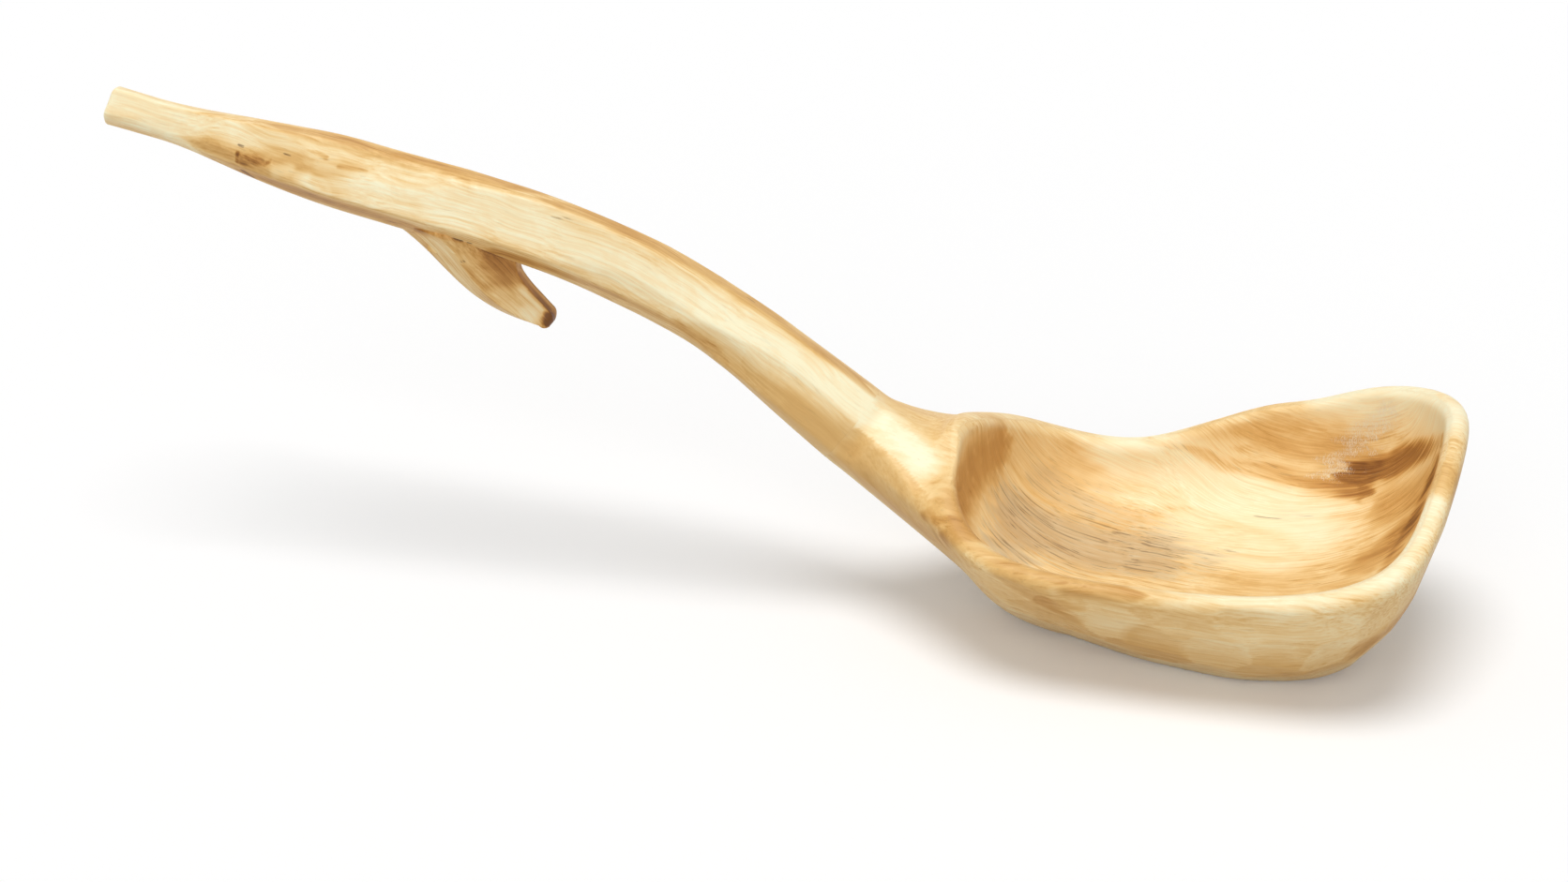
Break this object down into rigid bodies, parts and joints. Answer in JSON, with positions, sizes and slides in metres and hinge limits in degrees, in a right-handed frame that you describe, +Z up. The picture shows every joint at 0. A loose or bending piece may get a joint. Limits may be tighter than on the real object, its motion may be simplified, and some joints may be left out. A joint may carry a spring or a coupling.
{
  "type": "ladle",
  "caption": "Carved wooden ladle with a deep squarish-oval bowl, a raised pouring lip, a cranked faceted handle and a hook under it that hangs on a pot's rim.",
  "frame": {"origin": "centre of the flat foot under the bowl, on the table", "axes": "+X from the handle's tip towards the front of the bowl, +Y towards the side with the pouring lip, +Z up"},
  "size_m": [0.3797, 0.0966, 0.1277],
  "materials": {
    "bowl_wood": "knife-finished, oiled, with grey streaks and a brown heart band",
    "handle_wood": "knife-finished, oiled, with a knot near the tip",
    "hook_wood": "knife-finished, oiled",
    "wedge_wood": "split, unfinished"
  },
  "bodies": {
    "root": {"bowl": "bowl_wood", "handle": "handle_wood", "pot_hook": "hook_wood", "neck_wedge": "wedge_wood", "hook_wedge": "wedge_wood"}
  },
  "joints": []
}
